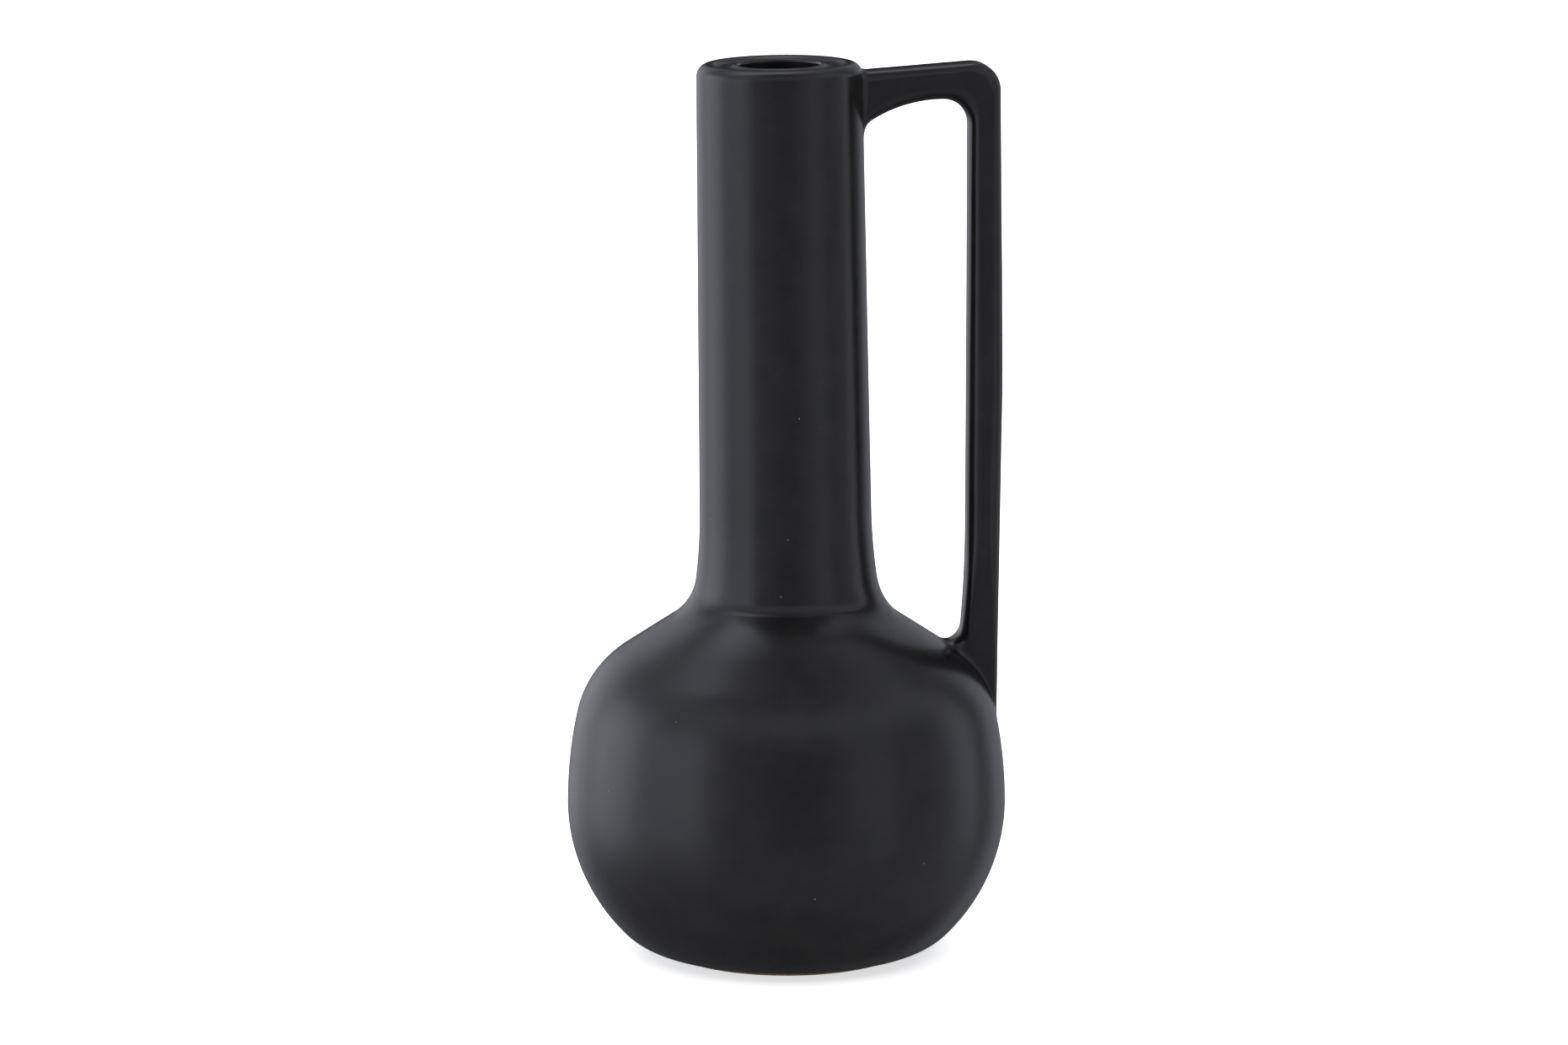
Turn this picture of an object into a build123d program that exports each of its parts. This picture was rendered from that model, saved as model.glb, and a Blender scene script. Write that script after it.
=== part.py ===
from build123d import *
import os
from math import cos, radians, sin, tan

# One-handled bottle vessel: a squat round body, a tall neck that leans a little away from the handle,
# a thick rolled lip with a narrow mouth, and one square-cornered handle from the lip to the shoulder.
# It is made in sections that are joined with clay slip, so each section and each joining band is a solid.
# The origin is the centre of the foot on the table, +Z is up, and the handle points along +X.

# Heights and the body outline, drawn upwards from the foot as arcs that run into each other
total_height = 300.0
wall_thickness = 5.0
foot_radius = 40.0
foot_height = 1.4
base_edge_radius = 22.0
base_edge_sweep = 45.0
belly_lower_radius = 62.0
belly_upper_radius = 135.0
belly_upper_sweep = 13.0
shoulder_radius = 34.0
shoulder_slope = 33.0

# Foot ring
foot_ring_width = 8.0
foot_edge_round = 0.5

# Neck
neck_radius = 28.8
neck_taper = 0.5
neck_lean = 0.8
neck_root_radius = 20.0
neck_bow_radius = 188.0
neck_bow_sweep = 6.9

# Mouth
lip_roll_radius = 4.0
lip_hollow_angle = 12.0
mouth_radius = 13.6
mouth_edge_round = 1.0
mouth_thickness = 7.0
mouth_spigot_width = 3.5
mouth_spigot_length = 5.0

# Joints between the sections
lap_height = 3.0
lap_thickness = 2.5
slip_rebate = 0.6
slip_thickness = 1.0
slip_margin = 0.8

# Handle, a flat bar with rounded edges, drawn in the XZ plane
handle_inset = 2.6
handle_thickness = 10.6
handle_width = 14.5
handle_edge_round = 3.6
handle_bow_radius = 700.0
handle_bow_sweep = 1.5
handle_bow_drop = 105.0
handle_corner_radius = 11.5
arm_drop = 3.9
arm_rise = 4.2
finger_arch_drop = 11.6
finger_corner_radius = 8.5
arm_haunch_radius = 45.0
arm_haunch_sweep = 31.5
arm_root_radius = 5.0
handle_flare_radius = 450.0
handle_flare_sweep = 4.5
handle_toe_radius = 6.4
handle_toe_sweep = 100.0

# Points of the body outline that other pieces share
belly_radius = (
    foot_radius
    + base_edge_radius * sin(radians(base_edge_sweep))
    + belly_lower_radius * (1 - sin(radians(base_edge_sweep)))
)
belly_height = (
    foot_height
    + base_edge_radius * (1 - cos(radians(base_edge_sweep)))
    + belly_lower_radius * cos(radians(base_edge_sweep))
)
shoulder_end_radius = (
    belly_radius
    - belly_upper_radius * (1 - cos(radians(belly_upper_sweep)))
    - shoulder_radius * (cos(radians(belly_upper_sweep)) - sin(radians(shoulder_slope)))
)
shoulder_end_height = (
    belly_height
    + belly_upper_radius * sin(radians(belly_upper_sweep))
    + shoulder_radius * (cos(radians(shoulder_slope)) - sin(radians(belly_upper_sweep)))
)

# Points of the neck root: the neck stands upright up to the root height and leans above it
neck_bow_start = neck_taper + neck_bow_sweep
neck_root_outer_radius = neck_radius + neck_bow_radius * (
    cos(radians(neck_taper)) - cos(radians(neck_bow_start))
)
slip_band_radius = neck_root_outer_radius + neck_root_radius * (
    cos(radians(neck_bow_start)) - sin(radians(shoulder_slope))
)
slip_band_height = shoulder_end_height + (shoulder_end_radius - slip_band_radius) * tan(radians(shoulder_slope))
neck_root_height = slip_band_height + neck_root_radius * (
    cos(radians(shoulder_slope)) - sin(radians(neck_bow_start))
)
neck_seat_radius = neck_root_outer_radius - slip_rebate
slip_corner_height = (
    slip_band_height
    + (slip_band_radius - neck_seat_radius) * tan(radians(shoulder_slope))
    - slip_rebate / cos(radians(shoulder_slope))
)

# Heights on the neck's own axis, counted from the neck root
neck_seat_drop = neck_root_height - slip_corner_height + neck_seat_radius * tan(radians(neck_lean))
crest_rise = total_height - neck_root_height
mouth_seat_rise = crest_rise - lip_roll_radius
neck_bow_rise = neck_bow_radius * (sin(radians(neck_bow_start)) - sin(radians(neck_taper)))
neck_top_radius = neck_radius - (mouth_seat_rise - neck_bow_rise) * tan(radians(neck_taper))
neck_place = Location((0, 0, neck_root_height), (0, -neck_lean, 0))

# Places on the handle
handle_reach = belly_radius - handle_inset
handle_inner_reach = handle_reach - handle_thickness
handle_bow_height = total_height - handle_bow_drop
finger_arch_height = total_height - finger_arch_drop
toe_centre_reach = (
    handle_inner_reach
    - handle_flare_radius * (1 - cos(radians(handle_flare_sweep)))
    - handle_toe_radius * cos(radians(handle_flare_sweep))
)
toe_centre_height = (
    shoulder_end_height
    + (shoulder_end_radius - toe_centre_reach) * tan(radians(shoulder_slope))
    + handle_toe_radius
)
handle_flare_height = (
    toe_centre_height
    + handle_flare_radius * sin(radians(handle_flare_sweep))
    - handle_toe_radius * sin(radians(handle_flare_sweep))
)


def turned(*edges):
    """Solid turned about the upright axis from a closed outline of radius and height, its seam opposite the handle."""
    return Rot(0, 0, 180) * revolve(make_face(Plane.XZ * Curve(children=list(edges))), Axis.Z)


def follow(edge, radius, sweep):
    """Arc that carries on from the end of an edge; a negative sweep turns it clockwise."""
    return JernArc(start=edge @ 1, tangent=edge % 1, radius=radius, arc_size=sweep)


def drum(radius, height, base=0):
    """Upright cylinder that stands at a base height."""
    return Pos(0, 0, base) * Cylinder(radius, height, align=(Align.CENTER, Align.CENTER, Align.MIN))


def body_form(growth):
    """Whole body up to the point of its shoulder cone, grown outwards by this much all round."""
    base = (foot_radius, foot_height - growth)
    base_edge = JernArc(base, (1, 0), base_edge_radius + growth, base_edge_sweep)
    lower_side = follow(base_edge, belly_lower_radius + growth, 90 - base_edge_sweep)
    upper_side = follow(lower_side, belly_upper_radius + growth, belly_upper_sweep)
    shoulder = follow(upper_side, shoulder_radius + growth, 90 - belly_upper_sweep - shoulder_slope)
    shoulder_end = shoulder @ 1
    cone_point = (0, shoulder_end.Y + shoulder_end.X * tan(radians(shoulder_slope)))
    closing = Polyline(shoulder_end, cone_point, (0, foot_height - growth), base)
    return turned(base_edge, lower_side, upper_side, shoulder, closing)


def neck_side(growth, drop):
    """Side of the neck from below its root up to the mouth ring, grown outwards by this much."""
    root_radius = neck_root_outer_radius + growth
    foot = Line((root_radius, -drop), (root_radius, 0))
    bow_heading = (-sin(radians(neck_bow_start)), cos(radians(neck_bow_start)))
    bow = JernArc(foot @ 1, bow_heading, neck_bow_radius - growth, -neck_bow_sweep)
    shaft = Line(bow @ 1, (neck_top_radius + growth, mouth_seat_rise))
    return foot, bow, shaft


def neck_form(growth, drop):
    """Solid neck, flat at both ends."""
    side = neck_side(growth, drop)
    closing = Polyline(side[-1] @ 1, (0, mouth_seat_rise), (0, -drop), side[0] @ 0)
    return neck_place * turned(*side, closing)


def neck_and_lip_form(growth):
    """Solid neck with the roll of the lip on top, grown outwards by this much."""
    side = neck_side(growth, neck_seat_drop)
    roll = JernArc(side[-1] @ 1, (0, 1), lip_roll_radius + growth, 90)
    closing = Polyline(roll @ 1, (0, crest_rise + growth), (0, -neck_seat_drop), side[0] @ 0)
    return neck_place * turned(*side, roll, closing)


def make_foot_ring():
    """Bare ring that the body stands on, let into the underside by the depth of the slip."""
    ring_height = foot_height + slip_rebate
    ring = drum(foot_radius, ring_height) - drum(foot_radius - foot_ring_width, ring_height)
    return fillet(ring.edges().group_by(Axis.Z)[0], foot_edge_round)


def slip_band_corners():
    """Corners of the slip band's section: on the shoulder, sunk into it, under the neck and at the neck root."""
    slope = radians(shoulder_slope)
    toe = (slip_band_radius, slip_band_height)
    sunk_toe = (slip_band_radius - slip_rebate * sin(slope), slip_band_height - slip_rebate * cos(slope))
    corner = (neck_seat_radius, slip_corner_height)
    root = (neck_seat_radius, neck_root_height)
    return toe, sunk_toe, corner, root


def make_neck_slip_band():
    """Hollowed band of joining clay in the corner between the shoulder and the neck."""
    toe, sunk_toe, corner, root = slip_band_corners()
    slope = radians(shoulder_slope)
    face = JernArc(toe, (-cos(slope), sin(slope)), neck_root_radius, shoulder_slope + neck_bow_start - 90)
    return turned(face, Polyline(face @ 1, root, corner, sunk_toe, toe))


def make_slip_groove():
    """Room that the shoulder and the neck leave for the slip band, open to the outside."""
    toe, sunk_toe, corner, root = slip_band_corners()
    above_toe = (2 * toe[0] - sunk_toe[0], 2 * toe[1] - sunk_toe[1])
    beside_root = (neck_root_outer_radius + slip_rebate, neck_root_height)
    return turned(Polyline(above_toe, sunk_toe, corner, root, beside_root, above_toe))


def make_neck_core(slip_groove):
    """Neck without its bore: the shaft, and the tongue at its foot that laps into the shoulder."""
    tongue = drum(neck_seat_radius - lap_thickness, lap_height, -neck_seat_drop - lap_height)
    return neck_form(0, neck_seat_drop) - slip_groove + neck_place * tongue


def make_mouth_ring():
    """Thick lip with a hollow round its top, a round mouth and a spigot that sits in the top of the neck."""
    spigot_radius = neck_top_radius - wall_thickness
    underside_height = crest_rise - mouth_thickness
    spigot_foot = mouth_seat_rise - mouth_spigot_length
    roll = JernArc((neck_top_radius, mouth_seat_rise), (0, 1), lip_roll_radius, 90 + lip_hollow_angle)
    tip = sin(radians(lip_hollow_angle))
    hollow_width = (roll @ 1).X - mouth_radius - mouth_edge_round * (1 + tip)
    hollow = follow(roll, hollow_width / (2 * tip), -2 * lip_hollow_angle)
    edge = follow(hollow, mouth_edge_round, 90 + lip_hollow_angle)
    under = Polyline(
        edge @ 1,
        (mouth_radius, underside_height),
        (spigot_radius - mouth_spigot_width, underside_height),
        (spigot_radius - mouth_spigot_width, spigot_foot),
        (spigot_radius, spigot_foot),
        (spigot_radius, mouth_seat_rise),
        roll @ 0,
    )
    return neck_place * turned(roll, hollow, edge, under)


def make_handle_bar(margin):
    """Handle bar, wider by a margin on both sides, before its ends are cut to the neck and the shoulder."""
    half_bow = handle_bow_sweep / 2
    corner_centre = handle_reach - handle_corner_radius * cos(radians(half_bow))
    corner_start = corner_centre - handle_corner_radius * sin(radians(arm_rise))
    arm_height = total_height - arm_drop
    arm_top = Line((0, arm_height), (corner_start, arm_height + corner_start * tan(radians(arm_rise))))
    corner = follow(arm_top, handle_corner_radius, half_bow - 90 - arm_rise)
    run_length = ((corner @ 1).Y - handle_bow_height) / cos(radians(half_bow))
    run_length -= handle_bow_radius * tan(radians(half_bow))
    upper_run = Line(corner @ 1, corner @ 1 + corner % 1 * run_length)
    bow = follow(upper_run, handle_bow_radius, -handle_bow_sweep)
    lower_length = ((bow @ 1).Y - belly_height) / cos(radians(half_bow))
    lower_run = Line(bow @ 1, bow @ 1 + bow % 1 * lower_length)
    arch_start = (handle_inner_reach, finger_arch_height - finger_corner_radius)
    arch = JernArc(arch_start, (0, 1), finger_corner_radius, 90)
    haunch = follow(arch, arm_haunch_radius, arm_haunch_sweep)
    root = follow(haunch, arm_root_radius, 90 - arm_haunch_sweep)
    inner_face = Line(arch_start, (handle_inner_reach, handle_flare_height))
    flare = follow(inner_face, handle_flare_radius, -handle_flare_sweep)
    toe = follow(flare, handle_toe_radius, -handle_toe_sweep)
    upper_end = Polyline(root @ 1, (0, (root @ 1).Y), arm_top @ 0)
    lower_end = Polyline(toe @ 1, ((toe @ 1).X, belly_height), lower_run @ 1)
    outer_side = [arm_top, corner, upper_run, bow, lower_run]
    inner_side = [toe, flare, inner_face, arch, haunch, root]
    outline = [*outer_side, lower_end, *inner_side, upper_end]
    side = make_face(Plane.XZ * Curve(children=outline))
    bar = extrude(side, handle_width / 2 + margin, both=True)
    return fillet(bar.faces().filter_by(Axis.Y).edges(), handle_edge_round + margin)


def write(name, solid):
    """Saves one piece under its own name."""
    solid.label = name
    export_step(solid, f"parts/{name}.step")


# The body is one wall, parted at the belly with a lap: the bowl has a tongue inside the shoulder's skirt
body_outside = body_form(0)
body_wall = body_outside - body_form(-wall_thickness)
bowl_zone = drum(belly_radius + wall_thickness, belly_height)
bowl_zone += drum(belly_radius - lap_thickness, belly_height + lap_height)
foot_ring = make_foot_ring()
belly_bowl = (body_wall & bowl_zone) - foot_ring

# The neck and its slip band are cut out of the shoulder, which leaves their seat and the way down into the body
slip_groove = make_slip_groove()
neck_core = make_neck_core(slip_groove)
neck_tube = neck_core - neck_form(-wall_thickness, neck_seat_drop + lap_height)
body_mouth = neck_place * drum(neck_root_outer_radius - wall_thickness, neck_root_height, -neck_root_height)
shoulder_dome = body_wall - bowl_zone - slip_groove - (neck_core + body_mouth)

# The handle stands on two saddles of slip, one on the neck and lip and one on the shoulder
neck_and_lip = neck_and_lip_form(0)
neck_and_lip_grown = neck_and_lip_form(slip_thickness)
body_grown = body_form(slip_thickness)
wide_bar = make_handle_bar(slip_margin)
handle = make_handle_bar(0) - neck_and_lip_grown - body_grown
handle_top_slip = (neck_and_lip_grown - neck_and_lip) & wide_bar
handle_foot_slip = (body_grown - body_outside) & wide_bar

os.makedirs("parts", exist_ok=True)
write("foot_ring", foot_ring)
write("belly_bowl", belly_bowl)
write("shoulder_dome", shoulder_dome)
write("neck_slip_band", make_neck_slip_band())
write("neck_tube", neck_tube)
write("mouth_ring", make_mouth_ring())
write("handle", handle)
write("handle_top_slip", handle_top_slip)
write("handle_foot_slip", handle_foot_slip)
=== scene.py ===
import math

import bmesh
import bpy
from mathutils import Matrix, Vector, noise


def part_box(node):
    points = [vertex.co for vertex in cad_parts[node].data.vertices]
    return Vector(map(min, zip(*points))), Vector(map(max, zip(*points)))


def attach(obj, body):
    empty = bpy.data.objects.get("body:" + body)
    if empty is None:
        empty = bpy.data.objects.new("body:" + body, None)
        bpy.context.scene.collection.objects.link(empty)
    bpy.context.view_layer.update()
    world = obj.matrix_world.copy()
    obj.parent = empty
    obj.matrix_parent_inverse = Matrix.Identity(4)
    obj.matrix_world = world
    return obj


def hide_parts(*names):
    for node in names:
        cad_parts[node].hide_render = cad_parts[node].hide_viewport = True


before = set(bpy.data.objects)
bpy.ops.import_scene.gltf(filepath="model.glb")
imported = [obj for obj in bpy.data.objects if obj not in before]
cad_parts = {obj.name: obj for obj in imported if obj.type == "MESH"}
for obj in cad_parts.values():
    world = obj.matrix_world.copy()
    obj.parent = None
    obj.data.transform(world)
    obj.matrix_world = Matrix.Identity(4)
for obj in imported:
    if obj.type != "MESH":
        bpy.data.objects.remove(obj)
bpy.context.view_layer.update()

# A black-glazed bottle vessel with one handle: a squat turned body, a tall neck that leans a little away
# from the handle, a thick rolled lip, and a flat bent bar for the handle. Lengths are in metres and angles
# in degrees.
MM = 0.001
tiny = 1e-9

# Body
total_height = 300.0 * MM
wall = 5.0 * MM
base_edge_radius = 22.0 * MM
base_edge_sweep = 45.0
belly_lower_radius = 62.0 * MM
belly_upper_radius = 135.0 * MM
belly_upper_sweep = 13.0
shoulder_radius = 34.0 * MM
shoulder_slope = 33.0
lap_height = 3.0 * MM
lap_thickness = 2.5 * MM

# Neck
neck_radius = 28.8 * MM
neck_taper = 0.5
neck_lean = 0.8
neck_root_radius = 20.0 * MM
neck_bow_radius = 188.0 * MM
neck_bow_sweep = 6.9
slip_rebate = 0.6 * MM

# Fuller dome of the shoulder in front and behind, which meets the neck in a crease: its outline from the
# shoulder's curve inwards, how wide it spreads round the neck, and how far its front is turned from square
# to the handle
front_slope = 43.0
front_run = 11.46 * MM
front_dome_radius = 80.0 * MM
front_dome_sweep = 14.0
front_step = 2.65 * MM
front_root_radius = 6.0 * MM
front_spread = 1.25
front_turn = 6.0

# Lip and mouth
lip_roll_radius = 4.0 * MM
lip_hollow_angle = 28.0
lip_tilt = 0.72
mouth_radius = 13.6 * MM
mouth_edge_round = 0.9 * MM
mouth_thickness = 7.0 * MM
mouth_spigot_width = 3.5 * MM
mouth_spigot_length = 5.0 * MM

# Foot
foot_ring_width = 8.0 * MM
foot_edge_round = 0.5 * MM

# Handle
handle_inset = 2.6 * MM
handle_thickness = 10.6 * MM
handle_width = 14.5 * MM
handle_edge_round = 4.4 * MM
finger_edge_round = 5.6 * MM
handle_bow_radius = 700.0 * MM
handle_bow_sweep = 1.5
handle_bow_drop = 105.0 * MM
handle_corner_radius = 9.5 * MM
arm_drop = 4.6 * MM
arm_rise = 4.2
finger_arch_drop = 12.5 * MM
finger_corner_radius = 8.5 * MM
arm_haunch_radius = 45.0 * MM
arm_haunch_sweep = 31.5
arm_root_radius = 7.2 * MM
handle_flare_radius = 450.0 * MM
handle_flare_sweep = 4.5
handle_toe_radius = 6.4 * MM
handle_toe_sweep = 100.0
joint_fillet = 2.4 * MM
joint_depth = 1.0 * MM
joint_sink = 0.05 * MM

# Unevenness of hand-finished clay: how deep it draws the surface in, how far apart its dents lie, by what
# share the handle's width varies, and how often along its length
dent_depth = 0.12 * MM
dent_length = 24.0 * MM
width_change = 0.02
width_changes = 9

# Fineness of the meshes, the angle from which a corner is shown sharp, and the step that tells which way
# a surface faces
sharp_angle = 38.0
probe_step = 0.05 * MM
ring_sides = 192
path_step = 2.0 * MM
arc_step = 3.0
face_steps = 70
section_sides = 56
flat_steps = 12
arm_steps = 26
corner_steps = 14
shaft_steps = 60
foot_steps = 34
fillet_steps = 8

# Places that the frame gives
foot_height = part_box("belly_bowl")[0].z
foot_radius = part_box("foot_ring")[1].x
belly_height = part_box("shoulder_dome")[0].z
belly_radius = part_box("belly_bowl")[1].x
slip_band_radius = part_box("neck_slip_band")[1].x
neck_root_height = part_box("neck_slip_band")[1].z

# Camera: a long lens, a little higher than the vessel, looking down on it
camera_aside = -0.8 * MM
camera_distance = 2000.0 * MM
camera_height = 499.63 * MM
camera_pitch = 10.03
camera_lens = 139.53
sensor_width = 36.0


class Path:
    """A line of straight runs and arcs in a plane, each carrying on from the end of the one before."""

    def __init__(self, start, heading=0.0):
        self.points = [Vector(start)]
        self.heading = math.radians(heading)

    @property
    def end(self):
        return self.points[-1]

    def to(self, *corners):
        """Straight runs to these corners."""
        for corner in corners:
            run = Vector(corner) - self.end
            start = self.end
            count = max(1, math.ceil(run.length / path_step))
            self.points += [start + run * (i / count) for i in range(1, count + 1)]
            self.heading = math.atan2(run.y, run.x)
        return self

    def ahead(self, length):
        """Straight run along the heading."""
        way = Vector((math.cos(self.heading), math.sin(self.heading)))
        return self.to(self.end + way * length)

    def arc(self, radius, sweep):
        """Arc along the heading; a positive sweep turns it anticlockwise."""
        turn = math.radians(sweep)
        side = math.copysign(1, turn)
        normal = Vector((-math.sin(self.heading), math.cos(self.heading))) * side
        centre = self.end + normal * radius
        count = max(math.ceil(abs(sweep) / arc_step), math.ceil(abs(turn) * radius / path_step))
        for i in range(1, count + 1):
            angle = self.heading + turn * i / count
            out = Vector((math.sin(angle), -math.cos(angle))) * side
            self.points.append(centre + out * radius)
        self.heading += turn
        return self


def even(point):
    """Draws a point towards the upright axis by a small uneven amount, as hand-finished clay is."""
    reach = math.hypot(point.x, point.y)
    if reach < dent_depth:
        return point
    depth = dent_depth * (0.5 + 0.5 * noise.noise(point / dent_length))
    share = 1 - depth / max(reach, mouth_radius)
    return Vector((point.x * share, point.y * share, point.z))


def add_piece(name, node, vertices, faces, material, slot):
    """Makes one piece from a closed mesh, with smooth faces that part only at sharp corners."""
    mesh = bpy.data.meshes.new(name)
    mesh.from_pydata([even(v) for v in vertices], [], faces)
    shell = bmesh.new()
    shell.from_mesh(mesh)
    bmesh.ops.recalc_face_normals(shell, faces=shell.faces)
    shell.to_mesh(mesh)
    shell.free()
    mesh.shade_smooth()
    mesh.set_sharp_from_angle(angle=math.radians(sharp_angle))
    mesh.materials.append(material)
    piece = bpy.data.objects.new(name, mesh)
    bpy.context.collection.objects.link(piece)
    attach(piece, "root")
    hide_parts(node)
    return piece


def eased(share):
    """Runs smoothly from 0 to 1."""
    share = min(max(share, 0), 1)
    return share * share * (3 - 2 * share)


def turned(outline, place=Matrix.Identity(4), front=None):
    """Vertices and faces turned from an outline of radius and height, listed anticlockwise.

    A second outline, with as many points, is the one that the piece has in front and behind.
    """
    vertices = []
    rings = []
    for side, ahead in zip(outline, front or outline):
        if side.x < tiny:
            rings.append([len(vertices)] * ring_sides)
            vertices.append(place @ Vector((0, 0, side.y)))
            continue
        rings.append(list(range(len(vertices), len(vertices) + ring_sides)))
        for i in range(ring_sides):
            angle = 2 * math.pi * i / ring_sides
            share = eased(front_spread * math.sin(angle + math.radians(front_turn)) ** 2)
            radius, height = side.lerp(ahead, share)
            spot = Vector((-radius * math.cos(angle), -radius * math.sin(angle), height))
            vertices.append(place @ spot)
    on_axis = outline[0].x < tiny
    faces = []
    for k in range(len(rings) - 1 if on_axis else len(rings)):
        low, high = rings[k], rings[(k + 1) % len(rings)]
        for i in range(ring_sides):
            j = (i + 1) % ring_sides
            corners = [low[i], low[j], high[j], high[i]]
            faces.append([c for n, c in enumerate(corners) if c not in corners[:n]])
    return vertices, faces


def swept(sections):
    """Vertices and faces of a solid through these closed sections, with a fan at each end."""
    vertices = [v for section in sections for v in section]
    count = len(sections[0])
    faces = []
    for k in range(len(sections) - 1):
        for i in range(count):
            j = (i + 1) % count
            faces.append([k * count + i, k * count + j, (k + 1) * count + j, (k + 1) * count + i])
    last = (len(sections) - 1) * count
    for section, start, turn in ((sections[0], 0, -1), (sections[-1], last, 1)):
        middle = len(vertices)
        vertices.append(sum(section, Vector()) / count)
        for i in range(count):
            fan = [start + i, start + (i + 1) % count, middle]
            faces.append(fan[::turn])
    return vertices, faces


def looped(sections):
    """Vertices and faces of a ring through these closed sections."""
    vertices = [v for section in sections for v in section]
    count = len(sections[0])
    faces = []
    for k in range(len(sections)):
        n = (k + 1) % len(sections)
        for i in range(count):
            j = (i + 1) % count
            faces.append([k * count + i, k * count + j, n * count + j, n * count + i])
    return vertices, faces


# Points of the outlines that the pieces share
slope = math.radians(shoulder_slope)
neck_bow_start = neck_taper + neck_bow_sweep
neck_root_outer = neck_radius + neck_bow_radius * (
    math.cos(math.radians(neck_taper)) - math.cos(math.radians(neck_bow_start))
)
slip_band_height = neck_root_height - neck_root_radius * (
    math.cos(slope) - math.sin(math.radians(neck_bow_start))
)
neck_seat_radius = neck_root_outer - slip_rebate
slip_corner_height = (
    slip_band_height
    + (slip_band_radius - neck_seat_radius) * math.tan(slope)
    - slip_rebate / math.cos(slope)
)
neck_seat_drop = neck_root_height - slip_corner_height
rebate = Vector((math.sin(slope), math.cos(slope))) * slip_rebate
crest_rise = total_height - neck_root_height
mouth_seat_rise = crest_rise - lip_roll_radius
neck_tip = Matrix.Rotation(math.radians(-neck_lean), 4, "Y")
neck_place = Matrix.Translation((0, 0, neck_root_height)) @ neck_tip


def lower_body(growth):
    """Side of the body from the foot to the widest part, grown outwards by this much."""
    path = Path((foot_radius, foot_height - growth))
    path.arc(base_edge_radius + growth, base_edge_sweep)
    return path.arc(belly_lower_radius + growth, 90 - base_edge_sweep)


def upper_body(growth):
    """Side of the body from the widest part to the end of the shoulder's curve, grown by this much."""
    path = Path((belly_radius + growth, belly_height), 90)
    path.arc(belly_upper_radius + growth, belly_upper_sweep)
    return path.arc(shoulder_radius + growth, 90 - belly_upper_sweep - shoulder_slope)


def neck_side(growth):
    """Side of the neck on its own axis, from its root up to the mouth ring, grown by this much."""
    path = Path((neck_root_outer + growth, 0), 90 + neck_bow_start)
    path.arc(neck_bow_radius - growth, -neck_bow_sweep)
    rise = mouth_seat_rise - path.end.y
    top = (path.end.x - rise * math.tan(math.radians(neck_taper)), mouth_seat_rise)
    return path.to(top)


def reached(points, distance):
    """Point at a distance along a line of points."""
    for point, after in zip(points, points[1:]):
        length = (after - point).length
        if distance <= length:
            return point + (after - point) * (distance / max(length, tiny))
        distance -= length
    return points[-1]


def along(points, share):
    """Point at a share of the length of a line of points."""
    return reached(points, share * sum((b - a).length for a, b in zip(points, points[1:])))


def height_on(points, radius):
    """Height at which a line that runs inwards and upwards passes a radius."""
    for low, high in zip(points, points[1:]):
        if low.x >= radius >= high.x:
            return low.y + (high.y - low.y) * (low.x - radius) / (low.x - high.x)
    last = points[-1]
    return last.y + (last.x - radius) * math.tan(slope)


def bowl_outline():
    """Lower half of the body, with a groove for the foot ring and a tongue inside the shoulder's skirt."""
    outside = lower_body(0).points
    inside = lower_body(-wall).points
    skirt_inside = upper_body(-wall).points
    tongue_top = belly_height + lap_height
    tongue_inside = [p for p in skirt_inside if p.y < tongue_top]
    path = Path((0, foot_height))
    path.to((foot_radius - foot_ring_width, foot_height))
    path.to((foot_radius - foot_ring_width, foot_height + slip_rebate))
    path.to((foot_radius, foot_height + slip_rebate), outside[0])
    path.points += outside[1:]
    path.to((belly_radius - lap_thickness, belly_height), (belly_radius - lap_thickness, tongue_top))
    path.to((belly_radius - wall, tongue_top))
    path.points += tongue_inside[::-1]
    path.points += inside[-2::-1]
    return path.to((0, foot_height + wall)).points


def shoulder_side():
    """Outside from the belly's widest part to the neck's root, as it is on the left and right."""
    path = upper_body(0).to((slip_band_radius, slip_band_height))
    return path.arc(neck_root_radius, shoulder_slope + neck_bow_start - 90).points


def shoulder_front():
    """The same stretch as it is in front and behind, where a fuller dome meets the neck in a crease."""
    path = Path((belly_radius, belly_height), 90).arc(belly_upper_radius, belly_upper_sweep)
    path.arc(shoulder_radius, 90 - belly_upper_sweep - front_slope).ahead(front_run)
    path.arc(front_dome_radius, front_dome_sweep).ahead(front_step)
    path.arc(front_root_radius, front_slope - front_dome_sweep + neck_bow_start - 90)
    return path.to((neck_root_outer, neck_root_height)).points


def stretches(outside):
    """The stretches of such an outside that the shoulder and the joining band have, in even steps."""
    toe = Vector((slip_band_radius, height_on(outside, slip_band_radius)))
    shoulder = [p for p in outside if p.x > toe.x] + [toe]
    band = [toe] + [p for p in outside if p.x < toe.x]
    shares = [i / face_steps for i in range(face_steps + 1)]
    return [[along(points, share) for share in shares] for points in (shoulder, band)]


def shoulder_outline(outside):
    """Upper half of the body, with its seat for the neck and the joining band."""
    inside = upper_body(-wall).points
    tongue_top = belly_height + lap_height
    seat_hole = neck_seat_radius - lap_thickness
    points, _ = stretches(outside)
    points += [points[-1] - rebate, Vector((neck_seat_radius, slip_corner_height))]
    path = Path((seat_hole, slip_corner_height)).to((seat_hole, height_on(inside, seat_hole)), inside[-1])
    path.points += [p for p in inside[-2::-1] if p.y > tongue_top]
    path.to((belly_radius - wall, tongue_top), (belly_radius - lap_thickness, tongue_top))
    return points + path.to((belly_radius - lap_thickness, belly_height)).points


def slip_band_outline(outside):
    """Band of joining clay between the shoulder and the neck."""
    _, points = stretches(outside)
    seat = [Vector((neck_seat_radius, height)) for height in (neck_root_height, slip_corner_height)]
    return points + seat + [points[0] - rebate]


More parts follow.
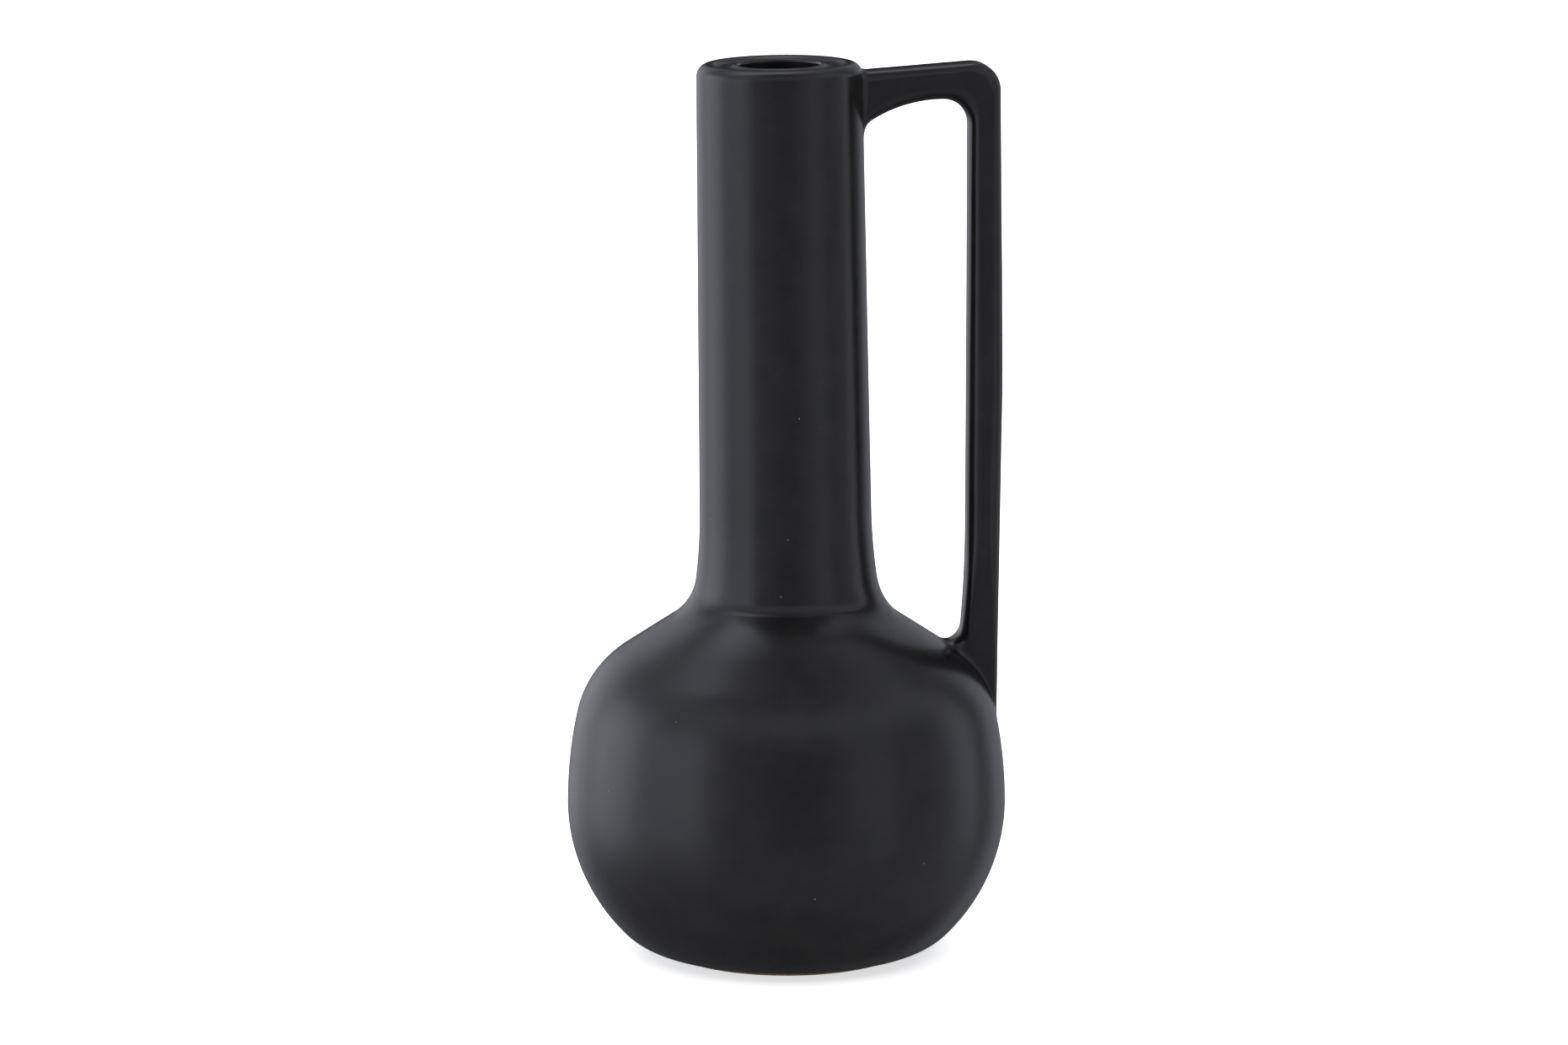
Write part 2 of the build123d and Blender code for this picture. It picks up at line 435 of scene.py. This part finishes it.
def tipped(vertices, faces):
    """Tips the joining band over with the neck, more and more towards its top."""
    root = Vector((0, 0, neck_root_height))
    moved = []
    for v in vertices:
        share = eased((v.z - slip_band_height) / (neck_root_height - slip_band_height))
        lean = Matrix.Rotation(math.radians(-neck_lean * share), 4, "Y")
        moved.append(lean @ (v - root) + root)
    return moved, faces


def neck_outline():
    """Neck tube on its own axis, from its seat in the shoulder to the seat of the mouth ring."""
    outside = neck_side(0)
    inside = neck_side(-wall).points
    path = Path((neck_seat_radius, -neck_seat_drop), 90)
    path.to((neck_seat_radius, 0), outside.points[0])
    path.points += outside.points[1:]
    path.to(inside[-1])
    path.points += inside[-2::-1]
    return path.to((neck_root_outer - wall, -neck_seat_drop)).points


def mouth_outline():
    """Thick lip on the neck's own axis: rolled edge, hollow top, round mouth and a spigot in the neck."""
    neck_top_radius = neck_side(0).end.x
    spigot_radius = neck_top_radius - wall
    spigot_bore = spigot_radius - mouth_spigot_width
    spigot_foot = mouth_seat_rise - mouth_spigot_length
    underside = crest_rise - mouth_thickness
    path = Path((neck_top_radius, mouth_seat_rise), 90)
    path.arc(lip_roll_radius, 90 + lip_hollow_angle)
    tip = math.sin(math.radians(lip_hollow_angle))
    hollow_width = path.end.x - mouth_radius - mouth_edge_round * (1 + tip)
    path.arc(hollow_width / (2 * tip), -2 * lip_hollow_angle)
    path.arc(mouth_edge_round, 90 + lip_hollow_angle)
    path.to((mouth_radius, underside), (spigot_bore, underside), (spigot_bore, spigot_foot))
    return path.to((spigot_radius, spigot_foot), (spigot_radius, mouth_seat_rise)).points[:-1]


def tilted(vertices, faces):
    """Lets the top of the lip rise a little from front to back, as it does on the hand-finished piece."""
    moved = []
    for v in vertices:
        share = eased((v.z - neck_root_height - mouth_seat_rise) / lip_roll_radius)
        moved.append(v + Vector((0, 0, v.y * share * math.tan(math.radians(lip_tilt)))))
    return moved, faces


def foot_outline():
    """Bare ring under the body with softened lower edges."""
    inner = foot_radius - foot_ring_width
    top = foot_height + slip_rebate
    path = Path((inner, foot_edge_round), -90)
    path.arc(foot_edge_round, 90)
    path.to((foot_radius - foot_edge_round, 0))
    path.arc(foot_edge_round, 90)
    return path.to((foot_radius, top), (inner, top)).points


# Handle

handle_reach = belly_radius - handle_inset
handle_inner_reach = handle_reach - handle_thickness
half_bow = handle_bow_sweep / 2


def handle_faces():
    """The bar's outer and inner face in four stretches that lie opposite: arm, corner, shaft and foot."""
    corner_start = (
        handle_reach
        - handle_corner_radius * math.cos(math.radians(half_bow))
        - handle_corner_radius * math.sin(math.radians(arm_rise))
    )
    arm_height = total_height - arm_drop
    shoulder_end = upper_body(0).end
    toe_reach = (
        handle_inner_reach
        - handle_flare_radius * (1 - math.cos(math.radians(handle_flare_sweep)))
        - handle_toe_radius * math.cos(math.radians(handle_flare_sweep))
    )
    toe_height = shoulder_end.y + (shoulder_end.x - toe_reach) * math.tan(slope) + handle_toe_radius
    flare_reach = handle_flare_radius - handle_toe_radius
    flare_height = toe_height + flare_reach * math.sin(math.radians(handle_flare_sweep))

    arm_start = neck_side(0).end.x - wall
    rise = math.tan(math.radians(arm_rise))
    arm_top = Path((arm_start, arm_height + arm_start * rise))
    arm_top.to((corner_start, arm_height + corner_start * rise))
    corner = Path(arm_top.end, arm_rise).arc(handle_corner_radius, half_bow - 90 - arm_rise)
    run = (corner.end.y - (total_height - handle_bow_drop)) / math.cos(math.radians(half_bow))
    run -= handle_bow_radius * math.tan(math.radians(half_bow))
    outer = Path(corner.end, half_bow - 90).ahead(run).arc(handle_bow_radius, -handle_bow_sweep)
    outer.ahead((outer.end.y - belly_height) / math.cos(math.radians(half_bow)))

    arch_start = (handle_inner_reach, total_height - finger_arch_drop - finger_corner_radius)
    arch = Path(arch_start, 90).arc(finger_corner_radius, 90)
    root = Path(arch.end, 180).arc(arm_haunch_radius, arm_haunch_sweep)
    root.arc(arm_root_radius, 90 - arm_haunch_sweep)
    root.to((arm_start, root.end.y))
    inner = Path(arch_start).to((handle_inner_reach, flare_height))
    foot = Path(inner.end, -90).arc(handle_flare_radius, -handle_flare_sweep)
    foot.arc(handle_toe_radius, -handle_toe_sweep)

    shaft_outer = [p for p in outer.points if p.y >= flare_height]
    foot_outer = [shaft_outer[-1]] + [p for p in outer.points if p.y < flare_height]
    return (
        (arm_top.points, root.points[::-1]),
        (corner.points, arch.points[::-1]),
        (shaft_outer, inner.points),
        (foot_outer, foot.points),
    )


def bar_section(outer, inner, share):
    """Rounded section of the bar between a point of its outer face and the point opposite."""
    middle = (outer + inner) / 2
    across = (outer - inner) / 2
    swell = 1 - width_change * (0.5 + 0.5 * noise.noise(Vector((share * width_changes, 0, 0))))
    half_height = across.length
    half_width = swell * handle_width / 2
    edges = []
    for i in range(section_sides):
        angle = 2 * math.pi * (i + 0.5) / section_sides
        corner = min(handle_edge_round if math.cos(angle) > 0 else finger_edge_round, half_height)
        lift = math.copysign(half_height - corner, math.cos(angle)) + corner * math.cos(angle)
        side = math.copysign(half_width - corner, math.sin(angle)) + corner * math.sin(angle)
        spot = middle + across.normalized() * lift
        edges.append(Vector((spot.x, side, spot.y)))
    section = []
    for i, (spot, after) in enumerate(zip(edges, edges[1:] + edges[:1])):
        steps = flat_steps if (i + 1) % (section_sides // 4) == 0 else 1
        section += [spot.lerp(after, n / steps) for n in range(steps)]
    return section


def handle_sections():
    """Sections of the bar from inside the neck wall to inside the shoulder."""
    steps = (arm_steps, corner_steps, shaft_steps, foot_steps)
    stretches_of_bar = handle_faces()
    sections = []
    for (outer, inner), count in zip(stretches_of_bar, steps):
        for i in range(count):
            share = i / count
            place = len(sections) / sum(steps)
            sections.append(bar_section(along(outer, share), along(inner, share), place))
    foot_outer, foot_inner = stretches_of_bar[-1]
    sections.append(bar_section(foot_outer[-1], foot_inner[-1], 1))
    return sections


def radius_at(points, height):
    """Radius of an outline that climbs, at a height."""
    for low, high in zip(points, points[1:]):
        if low.y <= height <= high.y:
            return low.x + (high.x - low.x) * (height - low.y) / max(high.y - low.y, tiny)
    return points[0].x if height < points[0].y else points[-1].x


def gap_to(points, place, spot):
    """How far a spot lies outside a turned surface."""
    local = place.inverted() @ spot
    return math.hypot(local.x, local.y) - radius_at(points, local.z)


def outward(points, place, spot):
    """Direction that points straight out of a turned surface near a spot."""
    slope_of_gap = Vector()
    for axis in range(3):
        step = Vector()
        step[axis] = probe_step
        slope_of_gap[axis] = gap_to(points, place, spot + step) - gap_to(points, place, spot - step)
    return slope_of_gap.normalized()


def joint_sections(sections, points, place):
    """Hollow fillets of joining clay round the end of the bar, where it comes out of a turned surface."""
    count = len(sections[0])
    loops = []
    for i in range(count):
        line = [section[i] for section in sections]
        gaps = [gap_to(points, place, spot) for spot in line]
        k = next(n for n in range(1, len(line)) if gaps[n] > 0)
        share = gaps[k - 1] / (gaps[k - 1] - gaps[k])
        meeting = line[k - 1].lerp(line[k], share)
        forward = (line[k] - line[k - 1]).normalized()
        round_way = sections[k][(i + 1) % count] - sections[k][i - 1]
        bar_out = round_way.cross(forward).normalized()
        if bar_out.dot(line[k] - sum(sections[k], Vector()) / count) < 0:
            bar_out.negate()
        surface_out = outward(points, place, meeting)
        aside = (bar_out - surface_out * bar_out.dot(surface_out)).normalized()
        top = reached([meeting, *line[k:]], joint_fillet)
        toe = meeting + aside * joint_fillet
        toe -= outward(points, place, toe) * gap_to(points, place, toe)
        arc = []
        for n in range(fillet_steps + 1):
            u = n / fillet_steps
            arc.append(top * (1 - u) ** 2 + meeting * 2 * u * (1 - u) + toe * u ** 2)
        arc[0] -= bar_out * joint_sink
        arc[-1] -= surface_out * joint_sink
        buried_toe = toe - surface_out * joint_depth
        buried_corner = meeting - surface_out * joint_depth - bar_out * joint_depth
        loops.append(arc + [buried_toe, buried_corner])
    return loops


# Materials


def add_node(tree, kind, **values):
    """Adds a shader node and sets sockets, named with underscores for spaces, or properties."""
    node = tree.nodes.new(kind)
    for key, value in values.items():
        socket = node.inputs.get(key.replace("_", " "))
        if socket is not None:
            socket.default_value = value
        else:
            setattr(node, key, value)
    return node


def ramp(tree, factor, *stops):
    """Colour ramp over a factor, from pairs of place and colour."""
    node = tree.nodes.new("ShaderNodeValToRGB")
    elements = node.color_ramp.elements
    while len(elements) < len(stops):
        elements.new(1.0)
    for element, (place, colour) in zip(elements, stops):
        element.position = place
        element.color = (*colour, 1.0)
    tree.links.new(factor, node.inputs["Fac"])
    return node.outputs["Color"]


def glaze_material():
    """Satin black glaze, a little mottled, with fine grain and a few pinholes."""
    material = bpy.data.materials.new("black_glaze")
    material.use_nodes = True
    tree = material.node_tree
    shader = tree.nodes["Principled BSDF"]
    shader.inputs["IOR"].default_value = 1.5
    place = add_node(tree, "ShaderNodeTexCoord").outputs["Object"]
    mottle = add_node(tree, "ShaderNodeTexNoise", Scale=100.0, Detail=4.0, Roughness=0.6)
    grain = add_node(tree, "ShaderNodeTexNoise", Scale=900.0, Detail=3.0, Roughness=0.6)
    waves = add_node(tree, "ShaderNodeTexNoise", Scale=110.0, Detail=2.0, Roughness=0.5)
    pits = add_node(tree, "ShaderNodeTexVoronoi", Scale=90.0)
    for texture in (mottle, grain, waves, pits):
        tree.links.new(place, texture.inputs["Vector"])
    dark, light = (0.0033, 0.0031, 0.0034), (0.0055, 0.005, 0.005)
    colour = ramp(tree, mottle.outputs["Fac"], (0.35, dark), (0.65, light))
    speck = add_node(tree, "ShaderNodeMapRange", From_Min=0.016, From_Max=0.026, To_Min=1.0, To_Max=0.0)
    tree.links.new(pits.outputs["Distance"], speck.inputs["Value"])
    base = add_node(tree, "ShaderNodeMix", data_type="RGBA")
    base.inputs[7].default_value = (0.11, 0.095, 0.08, 1)
    tree.links.new(speck.outputs["Result"], base.inputs[0])
    tree.links.new(colour, base.inputs[6])
    tree.links.new(base.outputs[2], shader.inputs["Base Color"])
    sheen = add_node(tree, "ShaderNodeMapRange", From_Min=0.3, From_Max=0.7, To_Min=0.23, To_Max=0.26)
    tree.links.new(mottle.outputs["Fac"], sheen.inputs["Value"])
    tree.links.new(sheen.outputs["Result"], shader.inputs["Roughness"])
    swell = add_node(tree, "ShaderNodeBump", Strength=1.0, Distance=0.05 * MM)
    bump = add_node(tree, "ShaderNodeBump", Strength=0.08, Distance=0.04 * MM)
    tree.links.new(waves.outputs["Fac"], swell.inputs["Height"])
    tree.links.new(swell.outputs["Normal"], bump.inputs["Normal"])
    tree.links.new(grain.outputs["Fac"], bump.inputs["Height"])
    tree.links.new(bump.outputs["Normal"], shader.inputs["Normal"])
    return material


def clay_material():
    """Bare fired clay, warm and dull, with coarse specks."""
    material = bpy.data.materials.new("bare_clay")
    material.use_nodes = True
    tree = material.node_tree
    shader = tree.nodes["Principled BSDF"]
    shader.inputs["Roughness"].default_value = 0.85
    place = add_node(tree, "ShaderNodeTexCoord").outputs["Object"]
    grain = add_node(tree, "ShaderNodeTexNoise", Scale=600.0, Detail=5.0, Roughness=0.7)
    tree.links.new(place, grain.inputs["Vector"])
    dark, light = (0.09, 0.065, 0.042), (0.2, 0.15, 0.1)
    colour = ramp(tree, grain.outputs["Fac"], (0.35, dark), (0.65, light))
    tree.links.new(colour, shader.inputs["Base Color"])
    bump = add_node(tree, "ShaderNodeBump", Strength=0.6, Distance=0.2 * MM)
    tree.links.new(grain.outputs["Fac"], bump.inputs["Height"])
    tree.links.new(bump.outputs["Normal"], shader.inputs["Normal"])
    return material


glaze = glaze_material()
clay = clay_material()

add_piece("bare_foot", "foot_ring", *turned(foot_outline()), clay, "bare_clay")
add_piece("glazed_bowl", "belly_bowl", *turned(bowl_outline()), glaze, "black_glaze")
side, front = shoulder_side(), shoulder_front()
dome = turned(shoulder_outline(side), front=shoulder_outline(front))
band = turned(slip_band_outline(side), front=slip_band_outline(front))
add_piece("glazed_shoulder", "shoulder_dome", *dome, glaze, "black_glaze")
add_piece("glazed_neck_band", "neck_slip_band", *tipped(*band), glaze, "black_glaze")
add_piece("glazed_neck", "neck_tube", *turned(neck_outline(), neck_place), glaze, "black_glaze")
add_piece("glazed_mouth", "mouth_ring", *tilted(*turned(mouth_outline(), neck_place)), glaze, "black_glaze")
bar = handle_sections()
add_piece("glazed_handle", "handle", *swept(bar), glaze, "black_glaze")
lip_side = neck_side(0)
lip_side.heading = math.radians(90)
lip_side.arc(lip_roll_radius, 90)
top_joint = joint_sections(bar, lip_side.points, neck_place)
foot_joint = joint_sections(bar[::-1], side, Matrix.Identity(4))
add_piece("glazed_top_joint", "handle_top_slip", *looped(top_joint), glaze, "black_glaze")
add_piece("glazed_foot_joint", "handle_foot_slip", *looped(foot_joint), glaze, "black_glaze")

# Stage: a pale floor, light from all round and from above, and the camera
floor_half_width = 20.0
floor_mesh = bpy.data.meshes.new("floor")
floor_corners = [Vector((x, y, 0)) * floor_half_width for x, y in ((-1, -1), (1, -1), (1, 1), (-1, 1))]
floor_mesh.from_pydata(floor_corners, [], [(0, 1, 2, 3)])
floor = bpy.data.objects.new("floor", floor_mesh)
bpy.context.collection.objects.link(floor)
floor.visible_glossy = False
floor_paint = bpy.data.materials.new("floor_paint")
floor_paint.use_nodes = True
floor_shader = floor_paint.node_tree.nodes["Principled BSDF"]
floor_shader.inputs["Base Color"].default_value = (0.9, 0.9, 0.9, 1)
floor_shader.inputs["Roughness"].default_value = 0.9
floor_shader.inputs["Emission Color"].default_value = (1, 1, 1, 1)
floor_shader.inputs["Emission Strength"].default_value = 0.65
floor_mesh.materials.append(floor_paint)

sun = bpy.data.lights.new("overhead", "SUN")
sun.energy = 3.2
sun.angle = math.radians(100)
overhead = bpy.data.objects.new("overhead", sun)
overhead.visible_glossy = False
bpy.context.collection.objects.link(overhead)


def studio_world():
    """Surroundings that the glaze mirrors: soft bright panels left, right and high behind, and a dim front.

    Round the horizon the level follows the azimuth from the front, with the right as positive. Higher up
    and lower down it follows the elevation instead, with one set of levels in front, one behind and one on
    the handle's side. A level is a pair of angle and brightness, and a share a pair of angle and part of 1.
    The camera itself sees plain white.
    """
    around = (
        (-180, 0.03), (-175, 0.06), (-168, 0.4), (-158, 0.75), (-146, 1.0), (-126, 1.1), (-115, 1.85),
        (-92, 1.85), (-84, 1.15), (-78, 1.05), (-50, 1.3), (-38, 0.5), (-20, 0.36), (0, 0.23), (20, 0.26),
        (42, 0.58), (58, 0.56), (66, 0.36), (95, 0.42), (102, 0.8), (115, 0.8), (123, 0.28), (131, 0.16),
        (138, 0.45), (146, 0.5), (154, 0.36), (166, 0.4), (172, 0.3), (176, 0.08), (180, 0.03),
    )
    ahead = (
        (-90, 0.15), (-60, 0.24), (-40, 0.37), (-10, 0.42), (23, 0.5), (37, 0.68), (50, 0.64), (58, 0.46),
        (68, 0.34), (90, 0.14),
    )
    behind = (
        (-90, 0.15), (-60, 0.1), (-30, 0.05), (0, 0.08), (8, 0.1), (36, 0.22), (46, 0.32), (56, 1.1),
        (64, 1.9), (70, 1.6), (76, 1.0), (82, 0.5), (90, 0.14),
    )
    aside = (
        (-90, 0.15), (-60, 0.1), (-45, 0.13), (-30, 0.28), (0, 0.2), (20, 0.22), (45, 0.26), (55, 0.45),
        (68, 0.65), (90, 0.14),
    )
    share_behind = (
        (-180, 1.0), (-140, 0.85), (-120, 0.75), (-100, 0.55), (-80, 0.1), (-70, 0.0), (148, 0.0),
        (160, 0.9), (175, 1.0),
    )
    share_aside = ((90, 0.0), (115, 0.6), (128, 1.0), (146, 1.0), (158, 0.3), (168, 0.0))
    take_over = (
        (-90, 1.0), (-40, 0.97), (-26, 0.84), (-18, 0.55), (-10, 0.22), (-2, 0.05), (4, 0.0), (12, 0.03),
        (22, 0.25), (30, 0.65), (38, 0.85), (60, 0.9), (90, 0.95),
    )
    cool = (0.96, 0.99, 1.08)
    brightest = 2.4
    world = bpy.data.worlds.new("studio")
    world.use_nodes = True
    tree = world.node_tree
    split = add_node(tree, "ShaderNodeSeparateXYZ")
    turn = add_node(tree, "ShaderNodeVectorRotate", rotation_type="Z_AXIS", Angle=math.radians(front_turn))
    tree.links.new(add_node(tree, "ShaderNodeTexCoord").outputs["Generated"], turn.inputs["Vector"])
    tree.links.new(turn.outputs["Vector"], split.inputs["Vector"])
    nearness = add_node(tree, "ShaderNodeMath", operation="MULTIPLY")
    nearness.inputs[1].default_value = -1.0
    azimuth = add_node(tree, "ShaderNodeMath", operation="ARCTAN2")
    elevation = add_node(tree, "ShaderNodeMath", operation="ARCSINE")
    tree.links.new(split.outputs["Y"], nearness.inputs[0])
    tree.links.new(split.outputs["X"], azimuth.inputs[0])
    tree.links.new(nearness.outputs["Value"], azimuth.inputs[1])
    tree.links.new(split.outputs["Z"], elevation.inputs[0])

    def by_angle(angle, half_turn, stops, tint=(1, 1, 1)):
        """Level that follows an angle between minus and plus half a turn."""
        limit = math.radians(half_turn)
        share = add_node(tree, "ShaderNodeMapRange", From_Min=-limit, From_Max=limit)
        tree.links.new(angle.outputs["Value"], share.inputs["Value"])
        places = [((a / half_turn + 1) / 2, [level * c for c in tint]) for a, level in stops]
        return ramp(tree, share.outputs["Result"], *places)

    def blended(first, second, share):
        """Two levels mixed by a share of the second."""
        mix = add_node(tree, "ShaderNodeMix", data_type="RGBA")
        for source, target in ((first, mix.inputs[6]), (second, mix.inputs[7]), (share, mix.inputs[0])):
            tree.links.new(source, target)
        return mix.outputs[2]

    shade = [c / brightest for c in cool]
    upright = by_angle(elevation, 90, ahead, shade)
    for stops, share in ((behind, share_behind), (aside, share_aside)):
        upright = blended(upright, by_angle(elevation, 90, stops, shade), by_angle(azimuth, 180, share))
    levels = blended(by_angle(azimuth, 180, around, shade), upright, by_angle(elevation, 90, take_over))
    surround = tree.nodes["Background"]
    tree.links.new(levels, surround.inputs["Color"])
    surround.inputs["Strength"].default_value = brightest
    white = add_node(tree, "ShaderNodeBackground", Color=(1, 1, 1, 1))
    choice = add_node(tree, "ShaderNodeMixShader")
    tree.links.new(add_node(tree, "ShaderNodeLightPath").outputs["Is Camera Ray"], choice.inputs["Fac"])
    tree.links.new(surround.outputs["Background"], choice.inputs[1])
    tree.links.new(white.outputs["Background"], choice.inputs[2])
    tree.links.new(choice.outputs["Shader"], tree.nodes["World Output"].inputs["Surface"])
    return world


bpy.context.scene.world = studio_world()
bpy.context.scene.view_settings.view_transform = "Standard"

camera_data = bpy.data.cameras.new("camera")
camera_data.sensor_width = sensor_width
camera_data.lens = camera_lens
camera = bpy.data.objects.new("camera", camera_data)
walk_round = Matrix.Rotation(math.radians(-front_turn), 4, "Z")
camera.location = walk_round @ Vector((camera_aside, -camera_distance, camera_height))
camera.rotation_euler = (math.radians(90 - camera_pitch), 0, math.radians(-front_turn))
bpy.context.collection.objects.link(camera)
bpy.context.scene.camera = camera
